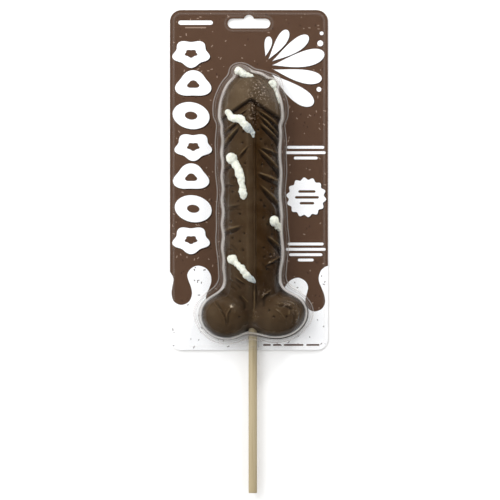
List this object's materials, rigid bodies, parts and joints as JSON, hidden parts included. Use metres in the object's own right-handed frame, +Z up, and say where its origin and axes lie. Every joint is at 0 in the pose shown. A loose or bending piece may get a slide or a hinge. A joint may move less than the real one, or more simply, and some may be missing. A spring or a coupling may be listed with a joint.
{
  "type": "carded novelty lollipop",
  "caption": "Novelty candy of anatomical form on a wooden stick, sealed under a clear formed blister on a printed hanging card.",
  "frame": {"origin": "on the floor plane, under the middle of the whole, which lies on its card's back with the candy up", "axes": "+X across the card to the right, +Y along the stick from its free end towards the hang slot, +Z up out of the card's printed front"},
  "size_m": [0.1186, 0.362, 0.0328],
  "materials": {
    "card": "printed and varnished board, dark brown with white",
    "candy": "glossy dark brown moulded candy with off-white icing",
    "blister": "clear thermoformed plastic sheet",
    "stick": "plain sanded dowel"
  },
  "bodies": {
    "root": {"card": "card", "candy": "candy", "blister": "blister", "stick": "stick"}
  },
  "joints": []
}
